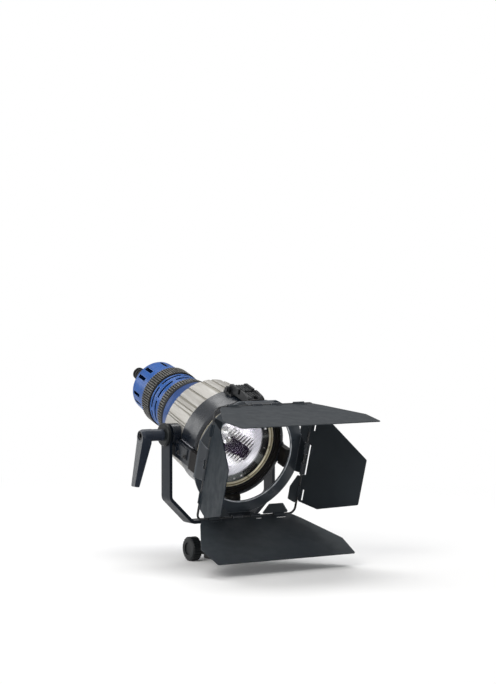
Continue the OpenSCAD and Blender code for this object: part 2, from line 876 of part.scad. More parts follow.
// Blue collar between the barrel and the locking ring
collar_seat_r = barrel_rear_r - barrel_wall - 0.1;
module rear_collar() {
    wall = 2.6;
    color([0.2, 0.33, 0.66])
    in_head()
        rotate_extrude()
            polygon([
                [core_r + 0.02, collar_a], [lock_flange_r - 0.8, collar_a], [lock_flange_r, collar_a + 0.8],
                [lock_flange_r + 1.6, collar_a + 10], [barrel_rear_r - 9, barrel_a - 11],
                [barrel_rear_r - 3.4, barrel_a - 2.5], [barrel_rear_r - 3, barrel_a - 0.05],
                [collar_seat_r, barrel_a - 0.05], [collar_seat_r, barrel_a + 5],
                [collar_seat_r - wall, barrel_a + 5], [collar_seat_r - wall - 1, barrel_a - 2],
                [barrel_rear_r - 12, barrel_a - 9], [core_r + 6, collar_a + 11], [core_r + 0.02, collar_a + 10]
            ]);
}

// Core tube: carries the locking ring, the vented ring, the focusing ring and the cap
carriage_r = 30;
core_wall = 2.5;
cap_wall = 2.4;
cap_seat_r = cap_rear_r - cap_wall - 0.4;
pin_r = 2;
pin_turn = 200;
focus_mid = vent_a - 5.5;
module core_tube() {
    color([0.1, 0.1, 0.11])
    in_head()
        difference() {
            union() {
                tube(core_r, core_r - core_wall, vent_a - 4, collar_a + 10);
                tube(core_r, carriage_r + run, focus_a, vent_a - 1);
                tube(cap_seat_r, carriage_r + run, focus_a - 14, focus_a + 1);
            }
            vent_cuts();
            rotate([0, 0, pin_turn])
                translate([carriage_r - 1, -pin_r - run, focus_mid - focus_travel])
                    cube([core_r, 2 * (pin_r + run), focus_travel]);
            for (t = [0, 1])
                rotate([0, 0, pin_turn])
                    translate([carriage_r - 1, 0, focus_mid - t * focus_travel])
                        rotate([0, 90, 0])
                            cylinder(r = pin_r + run, h = core_r);
        }
}

// Knurled locking ring with a flange
module locking_ring() {
    flange = 5.5;
    root_r = lock_r - 1.1;
    color([0.14, 0.13, 0.12])
    in_head()
        difference() {
            union() {
                translate([0, 0, lock_a + gap + 1])
                    linear_extrude(lock_len - flange - gap - 1)
                        polygon(ridges(lock_ridges, root_r, lock_r, knurl_top));
                translate([0, 0, lock_a + gap])
                    cylinder(r1 = root_r - 0.8, r2 = root_r, h = 1.01);
                translate([0, 0, collar_a - flange - 0.01])
                    cylinder(r = root_r, h = 1);
                translate([0, 0, collar_a - flange + 0.8])
                    cylinder(r = lock_flange_r, h = flange - gap - 0.8);
            }
            translate([0, 0, lock_a - 1])
                cylinder(r = core_r + run, h = lock_len + 2);
        }
}

// Two staggered rows of vents with narrow ribs between them
vent_rib = 7;
vent_h = 3.4;
module vent_cuts() {
    span = 360 / vents;
    for (row = [0, 1], k = [0:vents - 1])
        let (t = 117.5 + (k + row / 2) * span, a = lock_a - 12 - 10 * row)
            sector(2 * vent_r, t, t + span - vent_rib, a, a + vent_h);
}

// Blue ring with the vents
module vented_ring() {
    color([0.2, 0.33, 0.66])
    in_head()
        difference() {
            union() {
                tube(vent_r, core_r + 0.02, vent_a + 1, lock_a - 1);
                tube(vent_r - 0.8, core_r + 0.02, vent_a, lock_a);
                tube(vent_r + 0.5, core_r + 0.02, lock_a - 17.2, lock_a - 13.4);
            }
            vent_cuts();
        }
}

// Knurled focusing ring
module focusing_ring() {
    root_r = focus_r - 1.1;
    color([0.14, 0.13, 0.12])
    in_head()
        difference() {
            union() {
                translate([0, 0, focus_a + gap + 1])
                    linear_extrude(focus_len - 2 * gap - 2)
                        polygon(ridges(focus_ridges, root_r, focus_r, knurl_top));
                translate([0, 0, focus_a + gap])
                    cylinder(r1 = root_r - 0.8, r2 = root_r, h = 1.01);
                translate([0, 0, vent_a - gap - 1.01])
                    cylinder(r1 = root_r, r2 = root_r - 0.8, h = 1.01);
            }
            translate([0, 0, focus_a - 1])
                cylinder(r = core_r + run, h = focus_len + 2);
            for (i = [-1:groove_steps + 1])
                rotate([0, 0, pin_turn - i * focus_turn / groove_steps])
                    translate([core_r - 1, 0, focus_mid - i * focus_travel / groove_steps])
                        rotate([groove_slope, 0, 0])
                            translate([0, -groove_piece / 2, -pin_r - groove_play])
                                cube([pin_reach + 1.4, groove_piece, 2 * (pin_r + groove_play)]);
        }
}

// Spiral groove in the focusing ring that drives the pin
focus_turn = 110;
groove_steps = 20;
groove_play = 0.3;
pin_reach = 1.8;
groove_slope = atan(focus_travel / (core_r * focus_turn * PI / 180));
groove_piece = 1.35 * core_r * focus_turn * PI / 180 / groove_steps;

// Pin that joins the carriage to the focusing ring through the slot of the core tube
module focus_pin() {
    color([0.7, 0.7, 0.72])
    in_head()
        rotate([0, 0, pin_turn])
            translate([carriage_r - 5, 0, focus_mid])
                rotate([0, 90, 0])
                    cylinder(r = pin_r - 0.02, h = core_r + pin_reach - carriage_r + 5);
}

// Blue rear cap with pairs of vents and a rounded rear edge
module rear_cap() {
    edge = 3.5;
    color([0.22, 0.36, 0.7])
    in_head()
        difference() {
            rotate_extrude()
                polygon(concat(
                    [[gland_r * 0.72 + 0.05, cap_a]],
                    [for (i = [0:6]) [cap_rear_r - edge, cap_a + edge] + polar(edge, -90 + i * 15)],
                    [[cap_front_r, focus_a - gap], [cap_seat_r + 0.1, focus_a - gap]],
                    [[cap_seat_r + 0.1, focus_a - 15], [cap_rear_r - cap_wall - 0.3, cap_a + 6]],
                    [[cap_rear_r - cap_wall - 3, cap_a + cap_wall], [gland_r * 0.72 + 0.05, cap_a + cap_wall]]
                ));
            for (k = [0:cap_vents - 1], s = [-10.85, 10.85])
                rotate([0, 0, 138.85 + s + k * 360 / cap_vents])
                    translate([cap_rear_r - cap_wall - 4, -2.6, cap_a + 6])
                        cube([cap_wall + 8, 5.2, 18.5]);
        }
}

// Nut of the cable gland
module gland_nut() {
    color([0.1, 0.1, 0.1])
    in_head()
        difference() {
            union() {
                translate([0, 0, cap_a - 7])
                    cylinder(r = gland_r + 3, h = 6.95, $fn = 12);
                translate([0, 0, cap_a - 1])
                    cylinder(r = gland_r * 0.72, h = 8);
            }
            translate([0, 0, cap_a - 8])
                cylinder(r = cable_r + 1.5, h = 20);
        }
}

// Ribbed strain relief of the cable gland
module cable_gland() {
    ribs = 7;
    step = (gland_len - 14) / ribs;
    color([0.09, 0.09, 0.09])
    in_head()
        difference() {
            union() {
                translate([0, 0, cap_a - gland_len])
                    cylinder(r1 = gland_r - 2.2, r2 = gland_r - 1.2, h = gland_len - 7.05);
                for (i = [0:ribs])
                    translate([0, 0, cap_a - gland_len + 1 + i * step])
                        cylinder(r1 = gland_r - 1.2 + i * 0.1, r2 = gland_r - 0.9 + i * 0.1, h = step / 2);
                translate([0, 0, cap_a - 7.05])
                    cylinder(r = cable_r + 1.45, h = 12);
            }
            translate([0, 0, cap_a - gland_len - 1])
                cylinder(r = cable_r, h = gland_len + 20);
        }
}

// Base of the accessory latch: two ears and a saddle on the housing
latch_pin_a = -18;
latch_pin_y = band_r + 4.6;
latch_pin_r = 1.8;
ear_t = 3.6;
module latch_base() {
    reach = latch_w + gap + ear_t;
    ear_r = 4.5;
    saddle_h = 0.8;
    sunk = 8;
    color([0.12, 0.12, 0.13])
    in_head()
        difference() {
            union() {
                translate([-reach + 0.4, band_r - sunk, band_a + 1])
                    cube([2 * reach - 0.8, sunk + saddle_h, 20]);
                for (s = [-1, 1]) {
                    translate([s * (reach - ear_t / 2) - ear_t / 2, band_r - sunk, latch_pin_a - ear_r + 0.5])
                        cube([ear_t, latch_pin_y - band_r + sunk, 2 * ear_r - 1]);
                    translate([s * (reach - ear_t / 2), latch_pin_y, latch_pin_a])
                        rotate([0, 90, 0])
                            cylinder(r = ear_r, h = ear_t, center = true);
                }
            }
            translate([0, 0, band_a])
                cylinder(r = band_r + 0.05, h = 30, $fn = 4 * $fn);
            translate([-reach - 1, latch_pin_y, latch_pin_a])
                rotate([0, 90, 0])
                    cylinder(r = latch_pin_r + 0.02, h = 2 * reach + 2);
        }
}

// Latch lever: side walls and grip ridges on a plate that closes the top of the accessory slot
latch_wall = 3.6;
latch_top = band_r + latch_h;
module latch_lever() {
    nose = ring_a - ring_t - gap - holder_t - latch_gap;
    low = band_r + 1.6;
    side = [
        [latch_pin_a - 3, low + 1.4], [latch_pin_a - 3.5, latch_pin_y + 1], [latch_pin_a, latch_top - 1],
        [latch_pin_a + 2, latch_top], [13, latch_top], [nose - 4, latch_top - 2], [nose, latch_top - 4],
        [nose, low + 3], [nose - 3, low], [latch_pin_a + 3, low]
    ];
    color([0.15, 0.15, 0.16])
    in_head()
        difference() {
            rotate([0, -90, 0])
                translate([0, 0, -latch_w])
                    linear_extrude(2 * latch_w)
                        polygon(side);
            translate([0, latch_pin_y, latch_pin_a])
                rotate([0, 90, 0])
                    cylinder(r = latch_pin_r + run, h = 60, center = true);
            translate([latch_wall - latch_w, latch_top - 2.6, latch_pin_a - 10])
                cube([2 * (latch_w - latch_wall), 10, 80]);
            for (x = [-5.2, -0.9, 3.4])
                translate([x, latch_top - 4, latch_pin_a - 10])
                    cube([1.8, 10, 80]);
            translate([-latch_w - 1, latch_top - 7, 4])
                cube([2 * latch_w + 2, 10, 5]);
            translate([-3, low - 1, nose - 7])
                cube([6, 20, 10]);
        }
}

// Hinge pin of the latch, with a round head
module latch_pin() {
    reach = latch_w + gap + ear_t;
    color([0.5, 0.5, 0.52])
    in_head()
        translate([0, latch_pin_y, latch_pin_a])
            rotate([0, 90, 0])
                union() {
                    translate([0, 0, -reach])
                        cylinder(r = latch_pin_r, h = 2 * reach + 1);
                    translate([0, 0, -reach - 2])
                        cylinder(r = 3.2, h = 2);
                }
}

// Leaf spring under the latch
module latch_spring() {
    color([0.7, 0.7, 0.7])
    in_head()
        translate([-4, band_r + 0.82, -13])
            cube([8, 0.6, 6]);
}

// Holder: a bearing ring for the barn doors on two side arms and a lower arm
holder_w = 9.2;
holder_t = 2.2;
lip_in_r = ring_in_r + 3.4;
lip_t = 1.3;
clip_h = 1.5;
clip_t = 1;
clip_a = ring_a - ring_t - gap - holder_t - gap - clip_t;
arm_drop = 25;
lower_arm = [[-16, 0], [14.5, 0], [3, 1], [-16, 1]];
module accessory_holder() {
    lip_fit = lip_in_r + lip_t + run;
    back = ring_a - ring_t - gap - holder_t;
    foot = rim_a + 0.02;
    free = lip_in_r + lip_t + clip_h + gap;
    arm = [
        [bezel_out_r + 0.8, foot], [bracket_out, foot], [bracket_out, back + eps], [free, back + eps],
        [free, back - 3.4], [bezel_out_r + 0.8, back - 8]
    ];
    color([0.1, 0.1, 0.11])
    in_head()
        union() {
            tube(lip_fit + holder_w, lip_fit, back, back + holder_t);
            for (s = [-1, 1])
                translate([0, bracket_top, 0])
                    rotate([90, 0, 0])
                        linear_extrude(arm_drop + bracket_top)
                            polygon([for (p = arm) [s * p[0], p[1]]]);
            intersection() {
                rotate([90, 0, 0])
                    linear_extrude(bracket_out)
                        polygon([for (p = lower_arm) [p[0], p[1] > 0 ? back + 1 : foot]]);
                rotate_extrude()
                    polygon(arm);
            }
        }
}

// Door ring: a plate with four flats, an inner lip and four flanges with knuckles
flange_half_y = 22;
flange_half_x = 23;
flange_flare_y = 0;
flange_flare_x = 4;
knuckle_r = 3;
knuckle_gap = 7;
side_flat = hinge_x + knuckle_r - leaf_t / 2;
low_flat = hinge_y + knuckle_r - leaf_t / 2;
top_flat = hinge_y - knuckle_r + leaf_t / 2;
module door_ring() {
    front = ring_a;
    color([0.17, 0.18, 0.2])
    in_head()
        difference() {
            union() {
                intersection() {
                    tube(ring_out_r, ring_in_r, front - ring_t, front);
                    translate([-side_flat - leaf_t / 2, -low_flat - leaf_t / 2, 0])
                        cube([2 * side_flat + leaf_t, low_flat + top_flat + leaf_t, 100]);
                }
                tube(ring_in_r + 1.5, ring_in_r, front - ring_t, front + 1.2);
                tube(lip_in_r + lip_t, lip_in_r, clip_a - 0.8, front - ring_t + 0.5);
                flange(flange_half_x, flange_flare_x, side_flat, hinge_x);
                rotate([0, 0, 90])
                    flange(flange_half_y, flange_flare_y, top_flat, hinge_y);
                rotate([0, 0, 180])
                    flange(flange_half_x, flange_flare_x, side_flat, hinge_x);
                rotate([0, 0, 270])
                    flange(flange_half_y, flange_flare_y, low_flat, hinge_y);
            }
            for (t = [0:3])
                rotate([0, 0, 90 * t])
                    translate([t % 2 == 1 ? hinge_y : hinge_x, 0, hinge_a])
                        rotate([90, 0, 0])
                            cylinder(r = wire_r + 0.02, h = 200, center = true);
            tube(lip_in_r + 3, lip_in_r + lip_t / 2, clip_a - 0.05, clip_a + clip_t + 0.05);
        }
}

// Flange on the +X side of the door ring, with two knuckles on the hinge rod
module flange(half, flare, flat, x) {
    top = hinge_a - 2;
    foot = ring_a - ring_t;
    translate([flat - leaf_t / 2, 0, 0])
        rotate([90, 0, 90])
            linear_extrude(leaf_t)
                polygon([[-half - flare, foot], [half + flare, foot], [half, top], [-half, top]]);
    for (s = [-1, 1]) {
        translate([x, s * (half + knuckle_gap) / 2, hinge_a])
            rotate([90, 0, 0])
                cylinder(r = knuckle_r, h = half - knuckle_gap, center = true);
        translate([flat - leaf_t / 2, s > 0 ? knuckle_gap : -half, hinge_a - knuckle_r])
            cube([leaf_t, half - knuckle_gap, knuckle_r]);
    }
}

// Clip behind the holder that keeps the door ring on
module ring_clip() {
    color([0.5, 0.5, 0.52])
    in_head()
        difference() {
            tube(lip_in_r + lip_t + clip_h, lip_in_r + lip_t / 2 + 0.05, clip_a, clip_a + clip_t);
            sector(100, 255, 262, clip_a - 1, clip_a + 3);
        }
}

// Hinge frame: a wire bent to a rectangle with round corners
module hinge_frame() {
    sx = hinge_x - wire_bend_r;
    sy = hinge_y - wire_bend_r;
    color([0.16, 0.16, 0.17])
    in_head()
        translate([0, 0, hinge_a])
            union() {
                for (s = [-1, 1]) {
                    translate([0, s * hinge_y, 0])
                        rotate([0, 90, 0])
                            cylinder(r = wire_r, h = 2 * sx, center = true);
                    translate([s * hinge_x, 0, 0])
                        rotate([90, 0, 0])
                            cylinder(r = wire_r, h = 2 * sy, center = true);
                }
                for (t = [0:3])
                    translate([(t == 0 || t == 3 ? 1 : -1) * sx, (t < 2 ? 1 : -1) * sy, 0])
                        rotate([0, 0, 90 * t])
                            rotate_extrude(angle = 90)
                                translate([wire_bend_r, 0])
                                    circle(r = wire_r, $fn = 32);
            }
}

// A leaf in the XZ plane: hinge along X at the origin, plate towards +Z, inside towards -Y.
// Its edge runs close along the wire, with notches for the knuckles of the door ring.
leaf_start = knuckle_r + 0.5;
leaf_near = wire_r + run + 0.5;
knuckle_len = 16;
lug_turn = 112;
module leaf(outline, knuckle, half, windows, lug) {
    difference() {
        union() {
            difference() {
                rotate([90, 0, 0])
                    translate([0, 0, -leaf_t / 2])
                        linear_extrude(leaf_t)
                            polygon(outline);
                for (s = [-1, 1])
                    translate([s * (half + knuckle_gap) / 2 - (half - knuckle_gap) / 2 - 0.5, -leaf_t, 0])
                        cube([half - knuckle_gap + 1, 2 * leaf_t, leaf_start]);
            }
            for (s = [-1, 1]) {
                translate([s * knuckle, 0, 0])
                    rotate([0, 90, 0])
                        cylinder(r = knuckle_r, h = knuckle_len, center = true);
                rotate([lug_turn, 0, 0])
                    rotate([90, 0, 0])
                        translate([0, 0, -leaf_t / 2])
                            linear_extrude(leaf_t)
                                polygon(rounded([for (p = lug) [s * p[0], p[1]]], 1.5));
            }
        }
        rotate([0, 90, 0])
            cylinder(r = wire_r + run, h = 4 * knuckle, center = true);
        for (w = windows)
            translate([w[0], -leaf_t, w[2]])
                cube([w[1] - w[0], 2 * leaf_t, 2.4]);
    }
}

// Outline of a big leaf and of a small one
shoulder = [8.4, 11.3, 58.6, 3.9];
small_straight = 35;
big_outline = rounded([
    [-big_root, leaf_near], [big_root, leaf_near],
    [big_root + shoulder[0], leaf_start + shoulder[1]],
    [big_wide, leaf_start + shoulder[1] + shoulder[2]],
    [big_wide - shoulder[3], big_len], [shoulder[3] - big_wide, big_len],
    [-big_wide, leaf_start + shoulder[1] + shoulder[2]],
    [-big_root - shoulder[0], leaf_start + shoulder[1]]
], 2.5);
small_outline = rounded([
    [-small_root, leaf_near], [small_root, leaf_near], [small_root, small_straight],
    [small_tip, small_len], [-small_tip, small_len], [-small_root, small_straight]
], 2.5);

module big_leaf() {
    leaf(
        big_outline, big_root - 20, flange_half_y, [[-60, -44, 7], [12, 21, 5.5], [44, 60, 7]],
        [[flange_half_y + 3, 2], [big_root - 4, 2], [big_root - 13, 15], [big_root - 35, 15]]
    );
}

module small_leaf() {
    leaf(
        small_outline, small_root - 14, flange_half_x, [[-59, -43, 7], [-22, 22, 5], [43, 59, 7]],
        [[flange_half_x + 1.5, 5.7], [flange_half_x + 2, 2], [small_root + 3.5, 2], [small_root - 3.5, 15],
            [small_root - 22, 15]]
    );
}

module top_leaf() {
    color([0.26, 0.28, 0.3])
    in_head()
        translate([0, hinge_y, hinge_a])
            rotate([-top_angle, 0, 0])
                big_leaf();
}

module bottom_leaf() {
    color([0.12, 0.12, 0.12])
    in_head()
        translate([0, -hinge_y, hinge_a])
            rotate([bottom_angle, 0, 0])
                mirror([0, 1, 0])
                    big_leaf();
}

module left_leaf() {
    color([0.26, 0.28, 0.3])
    in_head()
        translate([-hinge_x, 0, hinge_a])
            rotate([0, -left_angle, 0])
                rotate([0, 0, 90])
                    small_leaf();
}

module right_leaf() {
    color([0.1, 0.1, 0.1])
    in_head()
        translate([hinge_x, 0, hinge_a])
            rotate([0, right_angle, 0])
                rotate([0, 0, -90])
                    small_leaf();
}

yoke();
stand_socket();
socket_screw();
clamp_shoe();
stand_knob();
knob_stud();
tilt_lever();
lever_screw();
friction_disc();
tilt_stud();
pivot_disc();
pivot_screw();
front_housing();
side_rails();
rail_rods();
bracket_screws();
bezel();
lens_ring();
lens_glass();
lens_gasket();
reflector();
lamp_capsule();
lamp_base();
lamp_carriage();
ribbed_barrel();
rear_collar();
core_tube();
locking_ring();
vented_ring();
focusing_ring();
focus_pin();
rear_cap();
gland_nut();
cable_gland();
latch_base();
latch_lever();
latch_pin();
latch_spring();
accessory_holder();
door_ring();
ring_clip();
hinge_frame();
top_leaf();
bottom_leaf();
left_leaf();
right_leaf();
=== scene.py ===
"""Film light with four-leaf barn doors: materials, the lamp's filament, light and camera round the frame."""
import json
import math
from collections import namedtuple

import bmesh
import bpy
from mathutils import Matrix, Vector


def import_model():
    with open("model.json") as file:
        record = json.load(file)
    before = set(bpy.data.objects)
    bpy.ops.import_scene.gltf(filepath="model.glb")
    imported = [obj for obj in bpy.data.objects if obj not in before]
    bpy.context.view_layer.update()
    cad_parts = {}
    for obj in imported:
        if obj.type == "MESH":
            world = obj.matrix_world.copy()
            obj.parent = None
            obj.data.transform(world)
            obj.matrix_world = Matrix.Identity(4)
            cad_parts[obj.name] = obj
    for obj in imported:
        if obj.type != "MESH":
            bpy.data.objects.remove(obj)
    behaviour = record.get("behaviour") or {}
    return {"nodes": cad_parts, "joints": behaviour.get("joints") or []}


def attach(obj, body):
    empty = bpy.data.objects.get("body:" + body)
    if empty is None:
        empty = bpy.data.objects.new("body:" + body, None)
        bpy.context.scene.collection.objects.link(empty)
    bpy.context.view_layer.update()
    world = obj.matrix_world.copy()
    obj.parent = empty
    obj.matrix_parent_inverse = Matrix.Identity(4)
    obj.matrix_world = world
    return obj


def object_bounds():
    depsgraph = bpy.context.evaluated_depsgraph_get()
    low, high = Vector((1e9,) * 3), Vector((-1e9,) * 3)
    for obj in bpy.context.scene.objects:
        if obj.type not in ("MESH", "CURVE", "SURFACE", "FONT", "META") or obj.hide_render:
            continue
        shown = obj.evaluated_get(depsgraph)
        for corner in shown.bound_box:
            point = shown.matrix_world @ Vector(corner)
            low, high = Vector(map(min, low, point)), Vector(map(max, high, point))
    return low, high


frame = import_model()
cad_low, cad_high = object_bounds()
nodes = frame["nodes"]
scene = bpy.context.scene

# The lamp head's own frame: x sideways, y up and z forward along the optical axis, from the lens ring
MM = 0.001
# The head tilts about a pivot that lies behind the lens ring and a little above the axis
TILT = math.radians(17.9)
PIVOT_BACK = 43.0 * MM
PIVOT_UP = 3.0 * MM
PIVOT = next(joint["pos_m"] for joint in frame["joints"] if joint["name"] == "head_tilt")
HEAD = (
    Matrix.Translation(PIVOT)
    @ Matrix.Rotation(TILT, 4, "X")
    @ Matrix.Translation((0, -PIVOT_BACK, -PIVOT_UP))
    @ Matrix.Rotation(math.radians(90), 4, "X")
)
LENS_CENTRE = HEAD.to_translation()
SIDEWAYS, UPWARD, FORWARD = (HEAD.to_3x3() @ Vector(axis) for axis in ((1, 0, 0), (0, 1, 0), (0, 0, 1)))

# How far a round piece goes along the optical axis and out from it, in metres
Reach = namedtuple("Reach", "rear front inner outer")


def reach(name):
    """The reach of a CAD node, measured on its mesh."""
    to_head = HEAD.inverted()
    points = [to_head @ vertex.co for vertex in nodes[name].data.vertices]
    along = [point.z for point in points]
    out = [math.hypot(point.x, point.y) for point in points]
    return Reach(min(along), max(along), min(out), max(out))


# Material graphs
class Graph:
    """The shader nodes of a material or a world, added by short calls."""

    def __init__(self, owner, output):
        owner.use_nodes = True
        self.owner = owner
        self.tree = owner.node_tree
        self.tree.nodes.clear()
        self.output = self.add(output)
        self.coordinates = self.add("ShaderNodeTexCoord").outputs
        self.at = self.coordinates["Object"]

    def add(self, kind, settings=None, **inputs):
        """Adds a node with these settings and inputs. An underscore in an input's name stands for a space."""
        node = self.tree.nodes.new(kind)
        for key, value in (settings or {}).items():
            setattr(node, key, value)
        for key, value in inputs.items():
            self.put(node.inputs[key.replace("_", " ")], value)
        return node

    def put(self, socket, value):
        """Links another node's output to a socket, or sets the socket to a number, vector or colour."""
        if isinstance(value, bpy.types.NodeSocket):
            self.tree.links.new(value, socket)
        elif socket.type == "RGBA":
            socket.default_value = (*value, 1.0)
        else:
            socket.default_value = value

    def math(self, operation, first, *others):
        """Joins values two at a time from the left. One value alone is for operations such as ABSOLUTE."""
        result = first
        for other in others or (0.0,):
            node = self.add("ShaderNodeMath", {"operation": operation})
            self.put(node.inputs[0], result)
            self.put(node.inputs[1], other)
            result = node.outputs[0]
        return result

    def times(self, *values):
        """The product of two or more values."""
        return self.math("MULTIPLY", *values)

    def vector(self, operation, first, second=None):
        """A vector operation: DOT_PRODUCT and LENGTH give a number, and the others a vector."""
        node = self.add("ShaderNodeVectorMath", {"operation": operation})
        self.put(node.inputs[0], first)
        if second is not None:
            self.put(node.inputs[1], second)
        return node.outputs["Value" if operation in ("DOT_PRODUCT", "LENGTH") else "Vector"]

    def scaled(self, direction, length):
        """A vector of that direction, multiplied by a length."""
        node = self.add("ShaderNodeVectorMath", {"operation": "SCALE"}, Scale=length)
        self.put(node.inputs[0], direction)
        return node.outputs[0]

    def span(self, value, low, high, to_low=0.0, to_high=1.0, smooth=True):
        """Maps value from the range low to high onto to_low to to_high, clamped."""
        kind = "SMOOTHSTEP" if smooth else "LINEAR"
        node = self.add("ShaderNodeMapRange", {"interpolation_type": kind, "clamp": True}, Value=value,
                        From_Min=low, From_Max=high, To_Min=to_low, To_Max=to_high)
        return node.outputs[0]

    def between(self, value, low, high, soft=0.4 * MM):
        """A mask that is 1 from low to high, with soft edges of that width just inside them."""
        return self.times(self.span(value, low, low + soft), self.span(value, high - soft, high, 1.0, 0.0))

    def noise(self, scale, detail=3.0, rough=0.55, at=None):
        """Noise over the object, or over other coordinates."""
        place = self.at if at is None else at
        node = self.add("ShaderNodeTexNoise", Vector=place, Scale=scale, Detail=detail, Roughness=rough)
        return node.outputs["Fac"]

    def patches(self, scale, low=0.3, high=0.7, to_low=0.0, to_high=1.0, detail=4.0, rough=0.55):
        """Soft-edged patches: noise over the object, mapped from low to high onto to_low to to_high."""
        return self.span(self.noise(scale, detail, rough), low, high, to_low, to_high)

    def mix(self, factor, first, second):
        """The first colour where factor is 0, and the second where it is 1."""
        node = self.add("ShaderNodeMix", {"data_type": "RGBA"})
        for place, value in ((0, factor), (6, first), (7, second)):
            self.put(node.inputs[place], value)
        return node.outputs[2]

    def stretched(self, direction, along, across):
        """Object coordinates scaled along and across a direction, for brushed or scratched texture."""
        direction = Vector(direction).normalized()
        side = direction.orthogonal().normalized()
        third = direction.cross(side)
        x, y, z = (self.times(self.vector("DOT_PRODUCT", self.at, tuple(axis)), scale)
                   for axis, scale in ((direction, along), (side, across), (third, across)))
        return self.add("ShaderNodeCombineXYZ", X=x, Y=y, Z=z).outputs[0]

    def from_lens(self, axis):
        """Distance from the centre of the lens ring along an axis, in metres."""
        place = self.vector("SUBTRACT", self.at, tuple(LENS_CENTRE))
        return self.vector("DOT_PRODUCT", place, tuple(axis))

    def round_axis(self):
        """Distance along the optical axis, radius from it, and the vector out from it, all in metres."""
        along = self.from_lens(FORWARD)
        place = self.vector("SUBTRACT", self.at, tuple(LENS_CENTRE))
        out = self.vector("SUBTRACT", place, self.scaled(tuple(FORWARD), along))
        return along, self.vector("LENGTH", out), out

    def edges(self, radius):
        """The normal rounded at the edges by a bevel of that radius, and a mask of the edges."""
        bevel = self.add("ShaderNodeBevel", {"samples": 4}, Radius=radius).outputs[0]
        normal = self.add("ShaderNodeNewGeometry").outputs["Normal"]
        turned = self.math("SUBTRACT", 1.0, self.vector("DOT_PRODUCT", bevel, normal))
        return bevel, self.span(turned, 0.02, 0.16)

    def bump(self, height, depth, strength, normal=None):
        """A normal bumped by a height between 0 and 1, which stands for that depth in metres."""
        node = self.add("ShaderNodeBump", Height=height, Distance=depth, Strength=strength)
        if normal is not None:
            self.put(node.inputs["Normal"], normal)
        return node.outputs[0]

    def grain(self, scale, depth, strength=0.6, normal=None, detail=2.0, rough=0.55):
        """A normal bumped by fine even grain."""
        return self.bump(self.noise(scale, detail, rough), depth, strength, normal)

    def show(self, shader):
        """Makes a shader the surface."""
        self.put(self.output.inputs["Surface"], shader)

    def principled(self, **inputs):
        """Makes a Principled shader with these inputs the surface."""
        self.show(self.add("ShaderNodeBsdfPrincipled", **inputs).outputs[0])


def material_graph(name):
    """The graph of a new material."""
    return Graph(bpy.data.materials.new(name), "ShaderNodeOutputMaterial")


def grey(value):
    """A neutral colour."""
    return (value, value, value)


def shade(colour, factor):
    """A colour made darker or lighter by a factor."""
    return tuple(min(1.0, channel * factor) for channel in colour)


def paint(name, colour, rough=0.42, specular=0.3, metal=0.0, blotch=0.12, grain=0.03 * MM, grain_scale=1300.0,
          worn=(0.30, 0.30, 0.31), wear=0.45):
    """Paint, anodising or moulded plastic: cloudy colour, fine grain, scuffs, and edges worn paler."""
    g = material_graph(name)
    tone = g.mix(g.patches(26.0, 0.32, 0.68), shade(colour, 1 - blotch), shade(colour, 1 + blotch))
    specks = g.patches(420.0, 0.58, 0.75, 0.0, 0.35, detail=3.0, rough=0.65)
    tone = g.mix(specks, tone, shade(colour, 1.35))
    scratched = g.stretched((0.55, 0.35, 0.75), along=60.0, across=900.0)
    scuffs = g.span(g.noise(1.0, 2.0, 0.6, scratched), 0.66, 0.74, 0.0, 0.25)
    tone = g.mix(scuffs, tone, shade(colour, 1.3))
    normal, edges = g.edges(0.6 * MM)
    chips = g.times(edges, g.patches(160.0, 0.47, 0.62, 0.12, 1.0, rough=0.7), wear)
    tone = g.mix(chips, tone, worn)
    sheen = g.math("ADD", g.patches(75.0, 0.3, 0.7, rough - 0.05, rough + 0.06), g.times(chips, -0.12))
    g.principled(Base_Color=tone, Metallic=metal, Roughness=sheen, Specular_IOR_Level=specular,
                 Normal=g.grain(grain_scale, grain, 0.6, normal, rough=0.6))
    return g.owner


def lever_with_painted_highlight():
    """Slate paint on a die-cast lever, with a speckled grey painted highlight on the side that faces minus x,
    towards the key light.
    """
    g = material_graph("lever_paint")
    tone = g.mix(g.patches(40.0), (0.019, 0.025, 0.038), (0.028, 0.036, 0.052))
    # Painted highlight: faces turned towards minus x, where the key light falls, are painted a speckled grey
    facing = g.add("ShaderNodeSeparateXYZ", Vector=g.coordinates["Normal"]).outputs["X"]
    painted_highlight_side = g.span(g.times(facing, -1.0), 0.80, 0.97)
    specks = g.patches(700.0, 0.35, 0.68, 0.35, 1.0, detail=3.0, rough=0.7)
    tone = g.mix(g.times(painted_highlight_side, specks), tone, (0.150, 0.155, 0.158))
    normal, edges = g.edges(0.7 * MM)
    tone = g.mix(g.times(edges, 0.4), tone, (0.30, 0.31, 0.33))
    g.principled(Base_Color=tone, Roughness=g.patches(40.0, 0.3, 0.7, 0.30, 0.42), Specular_IOR_Level=0.4,
                 Normal=g.grain(1000.0, 0.05 * MM, 0.6, normal, rough=0.6))
    return g.owner


def inside_cap_vents(g, along, radius):
    """A mask of what lies under the tapered skin of the rear cap, which only shows in its vents, for the
    painted shade in them.
    """
    cap = reach("rear_cap")
    rear_radius = 37.4 * MM
    rear_edge = 5.4 * MM
    front_edge = 0.4 * MM
    skin = g.span(along, cap.rear, cap.front, rear_radius, cap.outer, smooth=False)
    under_skin = g.span(g.math("SUBTRACT", skin, radius), 0.3 * MM, 0.8 * MM)
    return g.times(under_skin, g.between(along, cap.rear + rear_edge, cap.front - front_edge))


def inside_ring_vents(g, along, radius):
    """A mask of what lies under the skin of the vented ring between its stepped ends, for the painted shade
    in its vents.
    """
    ring = reach("vented_ring")
    rib_height = 0.5 * MM
    end_step = 1.0 * MM
    skin = ring.outer - rib_height
    under_skin = g.span(radius, skin - 0.5 * MM, skin - 0.2 * MM, 1.0, 0.0)
    return g.times(under_skin, g.between(along, ring.rear + end_step, ring.front - end_step))


